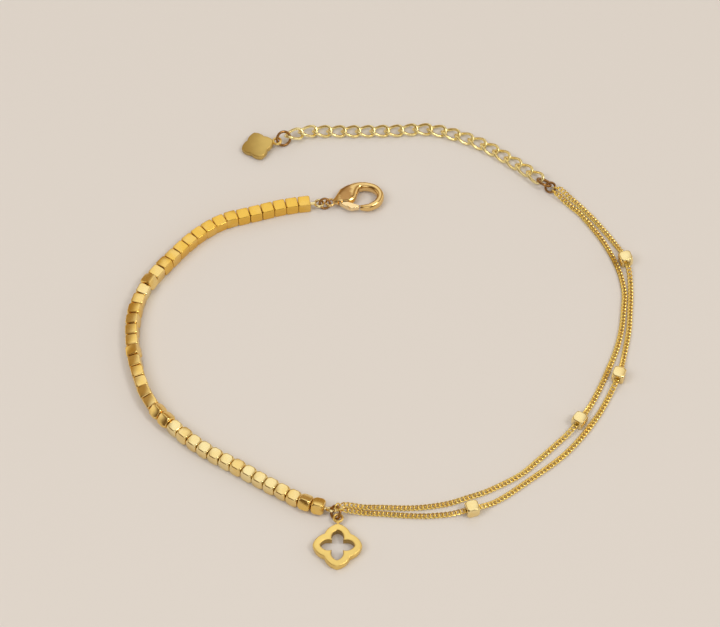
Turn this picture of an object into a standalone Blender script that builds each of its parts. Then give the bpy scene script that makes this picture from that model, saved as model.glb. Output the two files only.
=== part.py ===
# Gold bracelet laid open on a flat surface: one half is a wire strung with small
# cube beads, the other half is two fine chains with four more beads. The halves
# meet at a jump ring that also holds a pierced four-lobed pendant. A lobster clasp
# closes the loop on an extender chain that ends in a small solid tag.
# Metres, +Z up, the surface at z = 0, the origin at the middle of the laid piece.
import math

import bmesh
import bpy
from mathutils import Matrix, Vector

MM = 0.001
UP = Vector((0, 0, 1))

# Cube beads and the wire through them
BEAD_SIZE = 1.95 * MM
BEAD_CHAMFER = 0.30 * MM
BEAD_GAP = 0.088 * MM
BEAD_COUNT = 44
STRING_WIRE = 0.50 * MM
LOOP_RADIUS = 0.72 * MM
LOOP_WIRE = 0.44 * MM
LOOP_NECK = 0.10 * MM
BACK_LOOP_RADIUS = 0.65 * MM
BACK_LOOP_NECK = 0.62 * MM
FRONT_LOOP_DROP = 0.175 * MM
FRONT_LOOP_ROLL = math.radians(-40)
BEAD_ROLLS = (0, 3, -4, 1, 6, -2, 0, 4, -7, 2, -3)

# Jump rings and the play between linked wires
RING_RADIUS = 1.16 * MM
RING_WIRE = 0.44 * MM
RING_TILT = math.radians(57)
PENDANT_RING_RADIUS = 1.00 * MM
PENDANT_RING_HEADING = math.radians(-62)
STRING_MEET = math.radians(-155)
PENDANT_MEET = math.radians(-10)
CLASP_RING_RADIUS = 0.83 * MM
CLASP_RING_WIRE = 0.38 * MM
TAG_RING_TILT = math.radians(-57)
END_RING_TILT = math.radians(36)
STRAND_RING_RADIUS = 0.80 * MM
STRAND_RING_WIRE = 0.38 * MM
STRAND_RING_TILT = math.radians(-30)
STRAND_RING_DIP = math.radians(12)
LINK_PLAY = 0.12 * MM
RING_PLAY = 0.22 * MM
EYE_PULL = 0.06 * MM

# Fine chains and the beads threaded on them
STRAND_WIDTH = 0.90 * MM
STRAND_POINTS = 78
STRAND_RAMP = 3.2 * MM
STRAND_END_RISE = 0.45 * MM
STRAND_END_GAP = 0.12 * MM
FLOOR_PLAY = 0.01 * MM
BORE_CLEARANCE = 0.13 * MM
OUTER_BEAD_PLACES = (19.2 * MM, 54.2 * MM, 77.4 * MM)
INNER_BEAD_PLACES = (41.4 * MM,)

# Extender chain of flat twisted links
LINK_LENGTH = 3.5 * MM
LINK_WIDTH = 2.40 * MM
LINK_WIRE = 0.50 * MM
LINK_TWIST = 0.36 * MM
LINK_COUNT = 19
EXTENDER_RAMP = 6.0 * MM

# Lobster clasp
CLASP_REACH = 8.9 * MM
CLASP_WIDTH = 5.4 * MM
CLASP_THICKNESS = 2.0 * MM
CLASP_TURN = math.radians(2)
CLASP_EYE_RADIUS = 0.66 * MM
CLASP_EYE_WIRE = 0.40 * MM
LEVER_HEIGHT = 0.80 * MM
LEVER_THICKNESS = 0.80 * MM
LEVER_SWING = math.radians(25)
LEVER_CLEARANCE = 0.10 * MM
THUMB_TAB = 0.45 * MM
PIN_RADIUS = 0.20 * MM
PIN_CLEARANCE = 0.06 * MM

# Pierced pendant and end tag, both four-lobed plates with a small eye
PENDANT_SIZE = 7.4 * MM
PENDANT_VALLEY = 1.96 * MM
PENDANT_BULGE = 0.34 * MM
PENDANT_THICKNESS = 1.20 * MM
WINDOW_SIZE = 5.2 * MM
WINDOW_VALLEY = 0.84 * MM
WINDOW_BULGE = 0.42 * MM
TAG_SIZE = 5.35 * MM
TAG_VALLEY = 1.42 * MM
TAG_BULGE = 0.22 * MM
TAG_THICKNESS = 0.90 * MM
EYE_RADIUS = 0.62 * MM
EYE_WIRE = 0.44 * MM
NECK_WIRE = 0.38 * MM
PENDANT_NECK = 0.65 * MM
TAG_NECK = 0.0 * MM
TAG_TURN = math.radians(-14)

# Routes of the string, the chains and the extender, in millimetres, as laid
ROUTE_MIDDLE = (3.42, -4.49)
STRING_ROUTE = (
    (-4.3, -37.5), (-8.0, -36.6), (-13.2, -33.6), (-18.4, -30.2), (-23.6, -26.9),
    (-28.0, -23.2), (-31.6, -19.2), (-33.9, -14.6), (-35.2, -9.6), (-35.8, -4.4),
    (-35.3, 0.8), (-33.5, 5.4), (-30.2, 10.1), (-26.5, 14.5), (-22.2, 17.7),
    (-17.4, 19.3), (-12.6, 20.75), (-8.8, 21.45), (-6.6, 21.65),
)
OUTER_ROUTE = (
    (-2.2, -37.7), (2.3, -37.9), (8.3, -38.35), (12.1, -38.2), (17.1, -37.4),
    (21.2, -35.4), (25.9, -31.8), (30.6, -27.9), (33.8, -24.3), (36.6, -20.2),
    (38.5, -16.6), (40.4, -12.4), (41.6, -7.5), (42.4, -3.5), (42.8, 0.3),
    (43.1, 4.3), (42.95, 8.4), (41.5, 12.9), (38.5, 17.9), (35.5, 21.9),
    (33.9, 23.6), (32.4, 24.9),
)
INNER_ROUTE = (
    (-2.2, -36.75), (2.3, -36.8), (8.3, -36.9), (13.0, -36.2), (16.2, -35.1),
    (19.7, -33.7), (24.3, -31.0), (27.3, -28.2), (30.5, -24.9), (33.1, -22.2),
    (35.1, -19.2), (37.1, -15.2), (38.7, -11.4), (40.2, -7.5), (41.2, -3.6),
    (41.75, 0.3), (42.05, 4.3), (41.25, 9.0), (39.1, 14.4), (36.1, 19.4),
    (34.5, 21.3), (32.9, 23.0), (31.5, 24.2),
)
EXTENDER_ROUTE = (
    (25.1, 30.7), (19.2, 34.9), (12.1, 37.5), (5.1, 37.3), (-2.0, 37.2),
    (-6.5, 37.2), (-8.8, 36.9), (-11.0, 36.0), (-13.4, 34.8), (-16.4, 33.5),
)
PENDANT_TURN = math.radians(-1)

# Centreline and section of the clasp's hook, from the eye round to the nose. The
# columns are shares: x of the reach, y and width of the width, height of the thickness
HOOK_SECTIONS = (
    (0.070, 0.01, 0.16, 0.36), (0.177, 0.07, 0.39, 0.80), (0.310, 0.19, 0.61, 1.00),
    (0.418, 0.36, 0.47, 1.00), (0.544, 0.49, 0.27, 0.90), (0.709, 0.49, 0.22, 0.80),
    (0.860, 0.35, 0.22, 0.80), (0.928, 0.09, 0.22, 0.80), (0.867, -0.16, 0.22, 0.76),
    (0.722, -0.30, 0.19, 0.70), (0.610, -0.31, 0.17, 0.56), (0.535, -0.29, 0.13, 0.42),
)
PIVOT_SHARE = (0.205, -0.06)
LEVER_TIP_SHARE = (0.520, -0.275)
THUMB_SHARE = 0.62
SLOT_START_SHARE = 0.135
SLOT_END_SHARE = 0.465

WIRE_SIDES = 8
RING_STEPS = 16
RING_SIDES = 6
LINK_STEPS = 12
LOBE_STEPS = 5
HOOK_SIDES = 12
PIN_SIDES = 12


def clear_scene():
    for item in list(bpy.data.objects):
        bpy.data.objects.remove(item, do_unlink=True)


def gold(name, colour, roughness):
    material = bpy.data.materials.new(name)
    material.use_nodes = True
    shader = material.node_tree.nodes["Principled BSDF"]
    shader.inputs["Base Color"].default_value = (*colour, 1.0)
    shader.inputs["Metallic"].default_value = 1.0
    shader.inputs["Roughness"].default_value = roughness
    material.diffuse_color = (*colour, 1.0)
    return material


def add_object(name, mesh, material):
    item = bpy.data.objects.new(name, mesh)
    bpy.context.collection.objects.link(item)
    item.data.materials.append(material)
    return item


def finish_mesh(name, bm):
    bmesh.ops.recalc_face_normals(bm, faces=bm.faces[:])
    mesh = bpy.data.meshes.new(name)
    bm.to_mesh(mesh)
    bm.free()
    mesh.shade_smooth()
    mesh.set_sharp_from_angle(angle=math.radians(35))
    return mesh


def place(item, centre, x_axis, y_axis):
    # Puts an item's own origin at centre, with its x and y axes along two directions
    x_axis = x_axis.normalized()
    z_axis = x_axis.cross(y_axis).normalized()
    turn = Matrix((x_axis, z_axis.cross(x_axis), z_axis)).transposed()
    item.location = centre
    item.rotation_euler = turn.to_euler()


def boolean(item, other, operation):
    # The other solid is a tool: it stays out of the finished piece list
    other.hide_render = True
    other.display_type = "WIRE"
    modifier = item.modifiers.new(operation.lower(), "BOOLEAN")
    modifier.operation = operation
    modifier.solver = "EXACT"
    modifier.object = other


class Route:
    """A smooth curve through a few laid points, read by its length."""

    STEPS = 40

    def __init__(self, points):
        ends = [2 * points[0] - points[1], 2 * points[-1] - points[-2]]
        knots = [ends[0], *points, ends[1]]
        self.samples = []
        for k in range(1, len(knots) - 2):
            for step in range(self.STEPS):
                self.samples.append(smooth_point(knots[k - 1:k + 3], step / self.STEPS))
        self.samples.append(points[-1])
        self.lengths = [0.0]
        for before, after in zip(self.samples, self.samples[1:]):
            self.lengths.append(self.lengths[-1] + (after - before).length)
        self.length = self.lengths[-1]

    def at(self, distance):
        # Past either end the route runs straight on
        if distance <= 0:
            return self.samples[0] + distance * self.tangent(0)
        if distance >= self.length:
            return self.samples[-1] + (distance - self.length) * self.tangent(self.length)
        k = next(i for i, length in enumerate(self.lengths) if length >= distance)
        share = (distance - self.lengths[k - 1]) / (self.lengths[k] - self.lengths[k - 1])
        return self.samples[k - 1].lerp(self.samples[k], share)

    def tangent(self, distance):
        inside = min(max(distance, 0.0), self.length)
        k = next(i for i, length in enumerate(self.lengths) if length >= inside)
        low = max(k - self.STEPS // 2, 0)
        high = min(k + self.STEPS // 2, len(self.samples) - 1)
        return (self.samples[high] - self.samples[low]).normalized()


def smooth_point(knots, t):
    a, b, c, d = knots
    return 0.5 * (2 * b + t * (c - a) + t * t * (2 * a - 5 * b + 4 * c - d)
                  + t ** 3 * (3 * b - a - 3 * c + d))


def laid(points):
    return [Vector((x - ROUTE_MIDDLE[0], y - ROUTE_MIDDLE[1], 0)) * MM for x, y in points]


def hump(distance, flat, ramp):
    # 1 within the flat half-length, falling smoothly to 0 over the ramp
    share = (abs(distance) - flat) / ramp
    return 0.5 + 0.5 * math.cos(math.pi * min(max(share, 0.0), 1.0))


def loft(name, centres, widths, heights, sides, closed=False):
    # A rounded bar along a centreline, with an elliptical section at each centre
    bm = bmesh.new()
    count = len(centres)
    rings = []
    for k, centre in enumerate(centres):
        before = centres[k - 1] if closed or k else centres[k]
        after = centres[(k + 1) % count] if closed or k < count - 1 else centres[k]
        along = (after - before).normalized()
        side = UP.cross(along).normalized()
        top = along.cross(side)
        ring = []
        for j in range(sides):
            angle = 2 * math.pi * (j + 0.5) / sides
            offset = side * math.cos(angle) * widths[k] / 2 + top * math.sin(angle) * heights[k] / 2
            ring.append(bm.verts.new(centre + offset))
        rings.append(ring)
    for k in range(count if closed else count - 1):
        first, second = rings[k], rings[(k + 1) % count]
        for j in range(sides):
            following = (j + 1) % sides
            bm.faces.new((first[j], first[following], second[following], second[j]))
    if not closed:
        bm.faces.new(rings[0])
        bm.faces.new(rings[-1])
    return finish_mesh(name, bm)


def round_wire(name, centres, diameter, sides, closed=False):
    sizes = [diameter] * len(centres)
    return loft(name, centres, sizes, sizes, sides, closed)


def circle(radius, steps):
    angles = [2 * math.pi * k / steps for k in range(steps)]
    return [Vector((radius * math.cos(a), radius * math.sin(a), 0)) for a in angles]


def wire_ring(name, radius, wire):
    return round_wire(name, circle(radius, RING_STEPS), wire, RING_SIDES, closed=True)


def cylinder(name, radius, depth):
    bm = bmesh.new()
    bmesh.ops.create_cone(bm, cap_ends=True, segments=PIN_SIDES, radius1=radius,
                          radius2=radius, depth=depth)
    return finish_mesh(name, bm)


def add_bead(bm, centre, along, roll):
    # A cube with its edges and corners cut off, threaded along its own x axis
    side = UP.cross(along).normalized()
    frame = Matrix((along, side, along.cross(side))).transposed().to_4x4()
    turn = Matrix.Translation(centre) @ frame @ Matrix.Rotation(roll, 4, "X")
    cube = bmesh.ops.create_cube(bm, size=BEAD_SIZE, matrix=turn)
    edges = list(dict.fromkeys(edge for vert in cube["verts"] for edge in vert.link_edges))
    bmesh.ops.bevel(bm, geom=edges, offset=BEAD_CHAMFER, offset_type="OFFSET",
                    segments=1, profile=0.5, affect="EDGES", material=-1)


def prism(name, outline, thickness, window=()):
    # A flat plate between two faces, half its thickness above and below its plane
    bm = bmesh.new()
    edges = []
    for loop in (outline, window):
        verts = [bm.verts.new((x, y, -thickness / 2)) for x, y in loop]
        for k, vert in enumerate(verts):
            edges.append(bm.edges.new((vert, verts[(k + 1) % len(verts)])))
    filled = bmesh.ops.triangle_fill(bm, use_beauty=True, edges=edges)
    faces = [item for item in filled["geom"] if isinstance(item, bmesh.types.BMFace)]
    lifted = bmesh.ops.extrude_face_region(bm, geom=faces)
    tops = [item for item in lifted["geom"] if isinstance(item, bmesh.types.BMVert)]
    bmesh.ops.translate(bm, verts=tops, vec=(0, 0, thickness))
    return finish_mesh(name, bm)


def four_lobes(size, valley, bulge):
    # Four equal lobes, one on each axis. In each, two arcs rise from the valleys to the tip
    tip = Vector((size / 2, 0))
    low = Vector((valley, -valley))
    chord = tip - low
    radius = (chord.length_squared / 4 + bulge * bulge) / (2 * bulge)
    swing = 2 * math.asin(chord.length / 2 / radius)
    outward = Vector((chord.y, -chord.x)).normalized()
    centre = (tip + low) / 2 - outward * (radius - bulge)
    rising = [centre + Matrix.Rotation(swing * k / LOBE_STEPS, 2) @ (low - centre)
              for k in range(LOBE_STEPS)]
    falling = [Vector((point.x, -point.y)) for point in reversed(rising[1:])]
    points = []
    for quarter in range(4):
        turn = Matrix.Rotation(quarter * math.pi / 2, 2)
        points += [turn @ point for point in (*rising, tip, *falling)]
    return points


def ring_step(radius, wire):
    # Distance from a jump ring's centre to that of a ring or link pulled away from it
    return RING_RADIUS + radius - (RING_WIRE + wire) / 2 - RING_PLAY


def lean_shift(along, tilt, rise):
    # Moves a leaning ring aside so that its wire meets an eye lying lower by rise
    return UP.cross(along).normalized() * rise / math.tan(tilt)


def leaning(along, tilt):
    # The direction across along that climbs by tilt on its left
    return UP.cross(along).normalized() * math.cos(tilt) + UP * math.sin(tilt)


def add_ring(name, centre, along, tilt, radius, wire, material):
    # A ring whose plane holds the direction along and leans by tilt to one side
    item = add_object(name, wire_ring(name, radius, wire), material)
    place(item, centre, along, leaning(along, tilt))
    return item


def ring_point(along, tilt, radius, angle):
    # From a leaning ring's centre to the middle of its wire at an angle round it
    return radius * (along.normalized() * math.cos(angle) + leaning(along, tilt) * math.sin(angle))


def ring_height(radius, wire, tilt):
    return radius * math.sin(abs(tilt)) + wire / 2


def rest_height(roll):
    half = BEAD_SIZE / 2
    return half * math.cos(roll) + (half - BEAD_CHAMFER) * abs(math.sin(roll))


def bead_string(material):
    # Two halves: each is its beads, the wire through them and the loop at its end
    route = Route(laid(STRING_ROUTE))
    pitch = BEAD_SIZE + BEAD_GAP
    lead = LOOP_RADIUS + LOOP_WIRE / 2 + LOOP_NECK + BEAD_SIZE / 2
    back_lead = BACK_LOOP_RADIUS + LOOP_WIRE / 2 + BACK_LOOP_NECK + BEAD_SIZE / 2
    length = lead + (BEAD_COUNT - 1) * pitch + back_lead
    places = [lead + k * pitch for k in range(BEAD_COUNT)]
    rolls = [math.radians(BEAD_ROLLS[k % len(BEAD_ROLLS)]) for k in range(BEAD_COUNT)]
    centres = [route.at(s) + UP * rest_height(roll) for s, roll in zip(places, rolls)]
    front_rise = UP * (BEAD_SIZE / 2 - FRONT_LOOP_DROP)
    back_rise = UP * BEAD_SIZE / 2
    front_loop, back_loop = route.at(0) + front_rise, route.at(length) + back_rise
    front_end = route.at(LOOP_RADIUS) + front_rise
    back_end = route.at(length - BACK_LOOP_RADIUS) + back_rise
    front_along, back_along = -route.tangent(0), route.tangent(length)
    half = BEAD_COUNT // 2
    halves = (("bead_string_front", range(half), [front_end, *centres[:half]],
               front_loop, front_along, FRONT_LOOP_ROLL, LOOP_RADIUS),
              ("bead_string_back", range(half, BEAD_COUNT), [*centres[half:], back_end],
               back_loop, back_along, 0.0, BACK_LOOP_RADIUS))
    for name, members, wire, loop, along, roll, radius in halves:
        item = add_object(name, round_wire(name, wire, STRING_WIRE, WIRE_SIDES), material)
        bm = bmesh.new()
        for k in members:
            add_bead(bm, centres[k], route.tangent(places[k]), rolls[k])
        beads = add_object(name + "_beads", finish_mesh(name + "_beads", bm), material)
        boolean(item, beads, "UNION")
        eye = add_ring(name + "_loop", loop, along, roll, radius, LOOP_WIRE, material)
        boolean(item, eye, "UNION")
    return front_loop, back_loop, back_along


def strand(name, points, bead_places, bead_names, material, bead_material):
    # A fine chain's outer form, lying on the surface and rising into each bead
    route = Route(laid(points))
    low = STRAND_WIDTH / 2 + FLOOR_PLAY
    bead_rise = BEAD_SIZE / 2 - low

    def point(distance):
        ends = max(hump(distance, 0, STRAND_RAMP), hump(route.length - distance, 0, STRAND_RAMP))
        beads = max(hump(distance - s, BEAD_SIZE / 2, STRAND_RAMP) for s in bead_places)
        return route.at(distance) + UP * (low + max(STRAND_END_RISE * ends, bead_rise * beads))

    curve = bpy.data.curves.new(name, "CURVE")
    curve.dimensions = "3D"
    curve.bevel_depth = STRAND_WIDTH / 2
    curve.bevel_resolution = 2
    curve.use_fill_caps = True
    curve.resolution_u = 1
    curve.render_resolution_u = 0
    spline = curve.splines.new("POLY")
    spline.points.add(STRAND_POINTS - 1)
    for k, knot in enumerate(spline.points):
        knot.co = (*point(route.length * k / (STRAND_POINTS - 1)), 1.0)
    add_object(name, curve, material)

    bore = STRAND_WIDTH / 2 + BORE_CLEARANCE
    for bead_name, s in zip(bead_names, bead_places):
        bm = bmesh.new()
        add_bead(bm, Vector((0, 0, 0)), Vector((1, 0, 0)), 0.0)
        bead = add_object(bead_name, finish_mesh(bead_name, bm), bead_material)
        along = route.tangent(s)
        place(bead, point(s), along, UP.cross(along))
        drill = add_object(bead_name + "_drill", cylinder(bead_name + "_drill", bore, 2 * BEAD_SIZE),
                           bead_material)
        place(drill, point(s), UP, along.cross(UP))
        boolean(bead, drill, "DIFFERENCE")
    return point(route.length), route.tangent(route.length)


def hang_plate(name, outline, size, thickness, window, neck, eye_centre, away, material):
    # A plate hung by its eye on a ring, its far lobe resting on the surface
    reach = EYE_RADIUS + neck + size
    drop = math.asin(eye_centre.z / math.hypot(reach, thickness / 2)) - math.atan2(thickness / 2, reach)
    middle = size / 2 - reach
    item = add_object(name, prism(name, shifted(outline, middle), thickness, shifted(window, middle)),
                      material)
    eye = add_object(name + "_eye", wire_ring(name + "_eye", EYE_RADIUS, EYE_WIRE), material)
    slope = away * math.cos(drop) - UP * math.sin(drop)
    tools = [eye]
    if neck:
        stem = [Vector((0, -EYE_RADIUS, 0)), Vector((0, -EYE_RADIUS - neck - NECK_WIRE, 0))]
        tools.append(add_object(name + "_neck", round_wire(name + "_neck", stem, NECK_WIRE, WIRE_SIDES),
                                material))
    for part in (item, *tools):
        place(part, eye_centre, UP.cross(away), -slope)
    for tool in tools:
        boolean(item, tool, "UNION")


def shifted(outline, middle):
    return [(x, y + middle) for x, y in outline]


def extender(start, material):
    # Flat twisted links, each passed through the next, then a ring for the tag
    route = Route([start.xy.to_3d(), *laid(EXTENDER_ROUTE)])
    half = (LINK_LENGTH - LINK_WIRE) / 2
    pitch = 2 * half - LINK_WIRE - LINK_PLAY
    low = LINK_TWIST + LINK_WIRE / 2 + FLOOR_PLAY
    tag_height = ring_height(RING_RADIUS, RING_WIRE, TAG_RING_TILT)
    first = ring_step(half, LINK_WIRE)
    last = first + (LINK_COUNT - 1) * pitch
    tag_place = last + ring_step(half, LINK_WIRE)

    def point(distance):
        rise = (start.z - low) * hump(distance, RING_RADIUS, EXTENDER_RAMP)
        tag_rise = (tag_height - low) * hump(tag_place - distance, RING_RADIUS, EXTENDER_RAMP)
        return route.at(distance) + UP * (low + rise + tag_rise)

    outline = []
    for k in range(LINK_STEPS):
        angle = 2 * math.pi * k / LINK_STEPS
        outline.append(Vector((half * math.cos(angle),
                               (LINK_WIDTH - LINK_WIRE) / 2 * math.sin(angle),
                               LINK_TWIST * math.sin(2 * angle))))
    mesh = round_wire("extender_link", outline, LINK_WIRE, RING_SIDES, closed=True)
    mesh.materials.append(material)
    for k in range(LINK_COUNT):
        item = bpy.data.objects.new(f"extender_link_{k + 1:02d}", mesh)
        bpy.context.collection.objects.link(item)
        middle = first + k * pitch
        along = (point(middle + half) - point(middle - half)).normalized()
        place(item, point(middle), along, UP.cross(along))
    return point(tag_place), route.tangent(tag_place)


def clasp_point(x_share, y_share):
    return Vector((x_share * CLASP_REACH, y_share * CLASP_WIDTH, 0))


def clasp_body(material):
    # The cast hook with its eye, a slot for the lever and the pin across the slot
    route = Route([clasp_point(x, y) for x, y, _, _ in HOOK_SECTIONS])
    steps = 2 * (len(HOOK_SECTIONS) - 1)
    centres = []
    widths = []
    heights = []
    for k in range(steps + 1):
        low = min(k // 2, len(HOOK_SECTIONS) - 2)
        share = k / 2 - low
        centres.append(route.samples[min(k * Route.STEPS // 2, len(route.samples) - 1)])
        before, after = HOOK_SECTIONS[low], HOOK_SECTIONS[low + 1]
        widths.append(CLASP_WIDTH * (before[2] + share * (after[2] - before[2])))
        heights.append(CLASP_THICKNESS * (before[3] + share * (after[3] - before[3])))
    body = add_object("clasp_body", loft("clasp_body", centres, widths, heights, HOOK_SIDES), material)
    eye = add_object("clasp_eye", wire_ring("clasp_eye", CLASP_EYE_RADIUS, CLASP_EYE_WIRE), material)
    boolean(body, eye, "UNION")

    pivot = clasp_point(*PIVOT_SHARE)
    tip = clasp_point(*LEVER_TIP_SHARE)
    open_angle = math.atan2(tip.y - pivot.y, tip.x - pivot.x) + LEVER_SWING
    ceiling = pivot.y + (LEVER_HEIGHT / 2 + LEVER_CLEARANCE) / math.cos(open_angle)
    start, end = SLOT_START_SHARE * CLASP_REACH, SLOT_END_SHARE * CLASP_REACH
    slope = max(math.tan(open_angle), 0.0)
    outline = ((start, -CLASP_WIDTH), (end, -CLASP_WIDTH), (end, ceiling + slope * (end - pivot.x)),
               (start, ceiling))
    slot_width = LEVER_THICKNESS + 2 * LEVER_CLEARANCE
    slot = add_object("clasp_slot", prism("clasp_slot", outline, slot_width), material)
    boolean(body, slot, "DIFFERENCE")
    pin = add_object("clasp_pin", cylinder("clasp_pin", PIN_RADIUS, slot_width + CLASP_THICKNESS / 4),
                     material)
    pin.location = pivot
    boolean(body, pin, "UNION")
    return body, (eye, slot, pin)


def clasp_lever(material):
    # The gate: a flat bar that turns on the pin, with a tab for the thumb
    pivot = clasp_point(*PIVOT_SHARE)
    tip = clasp_point(*LEVER_TIP_SHARE)
    length = (tip - pivot).length
    half = LEVER_HEIGHT / 2
    outline = [(half * math.cos(a), half * math.sin(a))
               for a in (math.pi * (0.5 + k / 6) for k in range(7))]
    tab = THUMB_SHARE * length
    outline += [(tab - half, -half), (tab, -half - THUMB_TAB), (tab + half / 2, -half - THUMB_TAB),
                (tab + half, -half), (length, -0.55 * half), (length, 0.45 * half)]
    lever = add_object("clasp_lever", prism("clasp_lever", outline, LEVER_THICKNESS), material)
    bore = add_object("clasp_lever_bore", cylinder("clasp_lever_bore", PIN_RADIUS + PIN_CLEARANCE,
                                                   2 * LEVER_THICKNESS), material)
    boolean(lever, bore, "DIFFERENCE")
    angle = math.atan2(tip.y - pivot.y, tip.x - pivot.x)
    return lever, bore, pivot, angle


def add_clasp(eye, along, body_material, lever_material):
    eye.z = CLASP_THICKNESS / 2 + FLOOR_PLAY
    heading = math.atan2(along.y, along.x) + CLASP_TURN
    frame = bpy.data.objects.new("clasp_frame", None)
    bpy.context.collection.objects.link(frame)
    frame.location = eye
    frame.rotation_euler = (0, 0, heading)
    body, tools = clasp_body(body_material)
    lever, bore, pivot, angle = clasp_lever(lever_material)
    for item in (body, lever, bore, *tools):
        item.parent = frame
    for item in (lever, bore):
        item.location = pivot
        item.rotation_euler = (0, 0, angle)


def build():
    clear_scene()
    bead_gold = gold("polished_bead_gold", (0.87, 0.66, 0.27), 0.18)
    chain_gold = gold("fine_chain_gold", (0.80, 0.60, 0.25), 0.26)
    link_gold = gold("extender_gold", (0.82, 0.63, 0.30), 0.22)
    ring_gold = gold("ring_gold", (0.78, 0.58, 0.28), 0.20)
    clasp_gold = gold("clasp_gold", (0.80, 0.58, 0.30), 0.18)
    lever_gold = gold("lever_gold", (0.84, 0.64, 0.34), 0.18)
    plate_gold = gold("satin_plate_gold", (0.86, 0.65, 0.30), 0.30)

    front_loop, back_loop, back_along = bead_string(bead_gold)

    heading = Matrix.Rotation(PENDANT_RING_HEADING, 3, "Z") @ Vector((1, 0, 0))
    pendant_ring = front_loop - ring_point(heading, RING_TILT, PENDANT_RING_RADIUS, STRING_MEET)
    pendant_ring.z = ring_height(PENDANT_RING_RADIUS, RING_WIRE, RING_TILT)
    add_ring("pendant_ring", pendant_ring, heading, RING_TILT, PENDANT_RING_RADIUS, RING_WIRE, ring_gold)
    away = Matrix.Rotation(PENDANT_TURN, 3, "Z") @ Vector((0, -1, 0))
    hang_plate("pendant", four_lobes(PENDANT_SIZE, PENDANT_VALLEY, PENDANT_BULGE), PENDANT_SIZE,
               PENDANT_THICKNESS, four_lobes(WINDOW_SIZE, WINDOW_VALLEY, WINDOW_BULGE), PENDANT_NECK,
               pendant_ring + ring_point(heading, RING_TILT, PENDANT_RING_RADIUS, PENDANT_MEET),
               away, plate_gold)

    ring_z = ring_height(CLASP_RING_RADIUS, CLASP_RING_WIRE, RING_TILT)
    clasp_reach = back_along * (EYE_PULL + CLASP_RING_RADIUS)
    clasp_ring = back_loop + clasp_reach + lean_shift(back_along, RING_TILT, ring_z - back_loop.z)
    clasp_ring.z = ring_z
    add_ring("clasp_ring", clasp_ring, back_along, RING_TILT, CLASP_RING_RADIUS, CLASP_RING_WIRE,
             ring_gold)
    add_clasp(back_loop + 2 * clasp_reach, back_along, clasp_gold, lever_gold)

    outer_end, outer_along = strand("outer_strand", OUTER_ROUTE, OUTER_BEAD_PLACES,
                                    ("outer_bead_1", "outer_bead_2", "outer_bead_3"),
                                    chain_gold, bead_gold)
    inner_end, inner_along = strand("inner_strand", INNER_ROUTE, INNER_BEAD_PLACES,
                                    ("inner_bead_1",), chain_gold, bead_gold)

    onward = (outer_along + inner_along).normalized()
    end_z = ring_height(RING_RADIUS, RING_WIRE, END_RING_TILT)
    near = STRAND_RING_RADIUS + STRAND_RING_WIRE / 2 + STRAND_END_GAP
    strand_ring = (outer_end + inner_end) / 2 + onward * near
    step = ring_step(STRAND_RING_RADIUS, STRAND_RING_WIRE)
    strand_ring.z = end_z - step * math.sin(STRAND_RING_DIP)
    rising = onward * math.cos(STRAND_RING_DIP) + UP * math.sin(STRAND_RING_DIP)
    add_ring("strand_ring", strand_ring, rising, STRAND_RING_TILT, STRAND_RING_RADIUS,
             STRAND_RING_WIRE, ring_gold)
    end_ring = strand_ring + rising * step
    add_ring("end_ring", end_ring, onward, END_RING_TILT, RING_RADIUS, RING_WIRE, ring_gold)

    tag_ring, tag_along = extender(end_ring, link_gold)
    add_ring("tag_ring", tag_ring, tag_along, TAG_RING_TILT, RING_RADIUS, RING_WIRE, ring_gold)
    tag_away = Matrix.Rotation(TAG_TURN, 3, "Z") @ tag_along
    hang_plate("end_tag", four_lobes(TAG_SIZE, TAG_VALLEY, TAG_BULGE), TAG_SIZE, TAG_THICKNESS, (), TAG_NECK,
               tag_ring + tag_along * (RING_RADIUS + EYE_PULL), tag_away, plate_gold)


build()
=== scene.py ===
# %% [markdown]
# # A gold bracelet with cube beads, laid on a pale surface
#
# The bracelet is a loop of two halves. One half is a wire strung with small cube beads.
# The other half is two fine curb chains with four more beads on them. A jump ring with a
# pierced four-lobed pendant joins the halves, and a lobster clasp closes the loop on an
# extender chain that ends in a small solid tag.
#
# The imported CAD model comes first. It fixes the size and the place of every part, so each
# detailed piece below is made in the same metres and the same frame. Its box is kept, so
# that its size can be printed beside the size of the finished model at the end.

# %% Load the frame
import math

import bmesh
import bpy
from mathutils import Matrix, Vector


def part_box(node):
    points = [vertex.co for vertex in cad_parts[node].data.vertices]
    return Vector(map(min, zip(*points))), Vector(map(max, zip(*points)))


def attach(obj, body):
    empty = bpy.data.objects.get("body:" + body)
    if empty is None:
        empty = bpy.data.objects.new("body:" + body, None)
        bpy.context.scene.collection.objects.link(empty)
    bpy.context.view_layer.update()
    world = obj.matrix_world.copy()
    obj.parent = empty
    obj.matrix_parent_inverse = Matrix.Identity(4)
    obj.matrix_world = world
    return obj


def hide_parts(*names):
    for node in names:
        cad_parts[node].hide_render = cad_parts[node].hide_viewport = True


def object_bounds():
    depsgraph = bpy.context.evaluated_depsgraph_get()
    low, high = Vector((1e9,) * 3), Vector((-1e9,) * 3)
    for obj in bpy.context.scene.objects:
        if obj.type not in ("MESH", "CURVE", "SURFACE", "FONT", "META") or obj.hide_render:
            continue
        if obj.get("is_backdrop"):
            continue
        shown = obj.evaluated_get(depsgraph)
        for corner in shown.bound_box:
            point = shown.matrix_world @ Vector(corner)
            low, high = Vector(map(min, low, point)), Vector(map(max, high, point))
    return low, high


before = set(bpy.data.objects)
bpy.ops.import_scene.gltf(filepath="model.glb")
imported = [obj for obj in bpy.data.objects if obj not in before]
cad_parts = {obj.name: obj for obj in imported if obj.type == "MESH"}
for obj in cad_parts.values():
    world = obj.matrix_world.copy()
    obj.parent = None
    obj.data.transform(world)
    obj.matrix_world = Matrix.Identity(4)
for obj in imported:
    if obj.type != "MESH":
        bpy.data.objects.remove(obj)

MM = 0.001
UP = Vector((0, 0, 1))
cad_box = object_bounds()

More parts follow.
